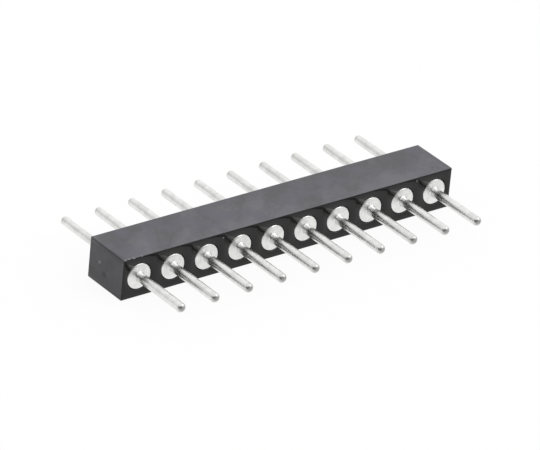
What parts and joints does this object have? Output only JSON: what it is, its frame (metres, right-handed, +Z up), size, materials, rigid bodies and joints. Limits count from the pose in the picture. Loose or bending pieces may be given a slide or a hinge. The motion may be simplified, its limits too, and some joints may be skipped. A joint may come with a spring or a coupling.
{
  "type": "single-row pin header",
  "caption": "Single-row board header: a black moulded bar holding flanged, turned round pins that stick out of both long sides.",
  "frame": {"origin": "on the underside of the insulator, midway along the row and midway through the insulator's depth", "axes": "+X along the row, +Y along the pins towards their tails, +Z up; the flanged front ends of the pins point to -Y"},
  "size_m": [0.0254, 0.0126, 0.0028],
  "materials": {
    "insulator": "satin black moulded plastic",
    "contact": "bright tin plating"
  },
  "bodies": {
    "root": {"insulator": "insulator", "contact_pin_01": "contact", "contact_pin_02": "contact", "contact_pin_03": "contact", "contact_pin_04": "contact", "contact_pin_05": "contact", "contact_pin_06": "contact", "contact_pin_07": "contact", "contact_pin_08": "contact", "contact_pin_09": "contact", "contact_pin_10": "contact"}
  },
  "joints": []
}
